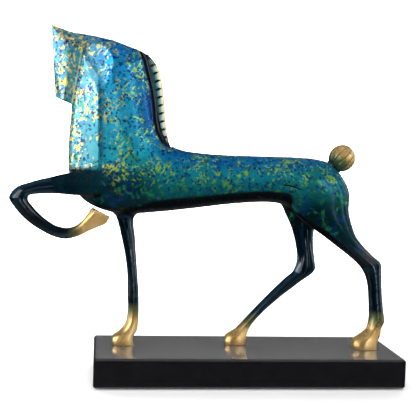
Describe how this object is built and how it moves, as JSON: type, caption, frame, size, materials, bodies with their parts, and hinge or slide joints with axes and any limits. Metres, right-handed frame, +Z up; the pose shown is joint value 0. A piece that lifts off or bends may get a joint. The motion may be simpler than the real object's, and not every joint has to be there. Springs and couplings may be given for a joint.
{
  "type": "horse statue",
  "caption": "Stylised striding horse in patinated bronze with one foreleg raised, a notched mane crest and knob tail, bolted to a polished black stone slab.",
  "frame": {"origin": "centre of the felt's underside, where the slab rests on the shelf", "axes": "+Z up; +X along the slab from the head towards the tail; +Y towards the far side of the horse, so the near side faces -Y"},
  "size_m": [0.4092, 0.11, 0.362],
  "materials": {
    "blue_lacquered_bronze": "gloss",
    "dark_lacquered_bronze": "gloss",
    "hoof_bronze": "gloss",
    "polished_bronze": "polished",
    "raw_bronze": "as cast",
    "steel": "zinc plated",
    "black_stone": "polished",
    "black_felt": "matte"
  },
  "bodies": {
    "root": {"crest_pins": "raw_bronze", "far_hind_leg_lower": "hoof_bronze", "far_hind_leg_upper": "dark_lacquered_bronze", "felt_sheet": "black_felt", "head_and_neck_casting": "blue_lacquered_bronze", "leg_dowels": "raw_bronze", "mane_crest": "polished_bronze", "mounting_nuts": "steel", "mounting_studs": "steel", "mounting_washers": "steel", "near_hind_leg_lower": "hoof_bronze", "near_hind_leg_upper": "dark_lacquered_bronze", "neck_backing_ring": "raw_bronze", "raised_foreleg_lower": "hoof_bronze", "raised_foreleg_upper": "dark_lacquered_bronze", "standing_foreleg_lower": "hoof_bronze", "standing_foreleg_upper": "dark_lacquered_bronze", "stone_slab": "black_stone", "tail_collar": "dark_lacquered_bronze", "tail_knob": "polished_bronze", "tail_stud": "steel", "trunk_casting": "blue_lacquered_bronze"}
  },
  "joints": []
}
